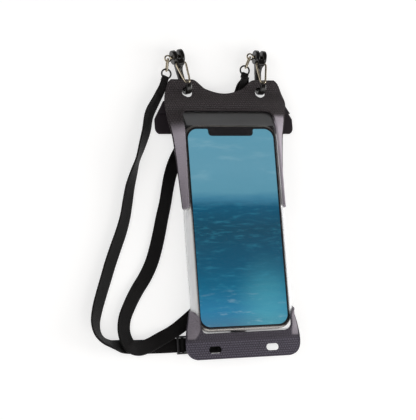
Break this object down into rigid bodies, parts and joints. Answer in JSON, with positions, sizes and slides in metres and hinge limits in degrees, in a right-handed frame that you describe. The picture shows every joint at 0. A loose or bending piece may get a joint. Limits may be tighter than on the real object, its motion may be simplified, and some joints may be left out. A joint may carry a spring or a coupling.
{
  "type": "waterproof phone pouch",
  "caption": "Clear waterproof pouch holding a phone, with embossed grey trim, a fold-over mouth, wire-gate hook clips in its ears and a flat webbing lanyard.",
  "frame": {"origin": "on the surface the pouch lies on, under the middle of the pouch and its clips, without the lanyard", "axes": "+X to the right across the window, +Y from the bottom slots towards the clips, +Z out of the window"},
  "size_m": [0.1562, 0.2154, 0.0156],
  "materials": {
    "trim_sheet": "soft charcoal sheet embossed with small hexagons",
    "clear_film": "clear glossy film, a little milky at the edges",
    "mouth_sheet": "near-black sheet with an embossed line",
    "clip_black": "glossy black coating",
    "bright_metal": "bright plated wire",
    "webbing": "flat black woven webbing with fine cross ribs",
    "slider_plastic": "satin black moulding",
    "phone_glass": "glossy black glass",
    "screen": "lit screen with a plain teal sky and sea",
    "phone_metal": "pale satin metal",
    "touch_tape": "black hook-and-loop tape"
  },
  "bodies": {
    "pouch": {"top_trim": "trim_sheet", "bottom_trim": "trim_sheet", "front_film": "clear_film", "back_film": "clear_film", "mouth_flap": "mouth_sheet", "loop_strip": "touch_tape", "hook_strip": "touch_tape", "press_seal_outer": "mouth_sheet", "press_seal_inner": "mouth_sheet", "phone_frame": "phone_metal", "phone_front_glass": "phone_glass", "phone_display": "screen", "phone_back_glass": "phone_glass", "camera_island": "phone_metal", "camera_lens_upper": "phone_glass", "camera_lens_lower": "phone_glass", "flash_lens": "phone_glass", "left_hook_body": "clip_black", "left_eye_pin": "bright_metal", "left_oval_link": "bright_metal", "left_ring": "clip_black", "right_hook_body": "clip_black", "right_eye_pin": "bright_metal", "right_oval_link": "bright_metal", "right_ring": "clip_black", "strap_left": "webbing", "strap_right": "webbing", "strap_slider": "slider_plastic"},
    "left_gate": {"left_wire_gate": "bright_metal"},
    "right_gate": {"right_wire_gate": "bright_metal"},
    "power": {"power_key": "phone_metal"},
    "volume_up": {"volume_up_key": "phone_metal"},
    "volume_down": {"volume_down_key": "phone_metal"}
  },
  "joints": [
    {"name": "left_gate_hinge", "type": "hinge", "parent": "pouch", "child": "left_gate", "pos_m": [-0.03124, 0.0968, 0.0082], "axis": [0.9781, 0.2079, 0], "range_deg": [0, 15], "stiffness_Nm_per_rad": 0.02, "springref_deg": -5.73},
    {"name": "right_gate_hinge", "type": "hinge", "parent": "pouch", "child": "right_gate", "pos_m": [0.02842, 0.0972, 0.0082], "axis": [0.9976, -0.0698, 0], "range_deg": [0, 15], "stiffness_Nm_per_rad": 0.02, "springref_deg": -5.73},
    {"name": "power_key_press", "type": "slide", "parent": "pouch", "child": "power", "axis": [-1, 0, 0], "range_m": [0, 0.0003], "stiffness_N_per_m": 250},
    {"name": "volume_up_key_press", "type": "slide", "parent": "pouch", "child": "volume_up", "axis": [1, 0, 0], "range_m": [0, 0.0003], "stiffness_N_per_m": 250},
    {"name": "volume_down_key_press", "type": "slide", "parent": "pouch", "child": "volume_down", "axis": [1, 0, 0], "range_m": [0, 0.0003], "stiffness_N_per_m": 250}
  ]
}
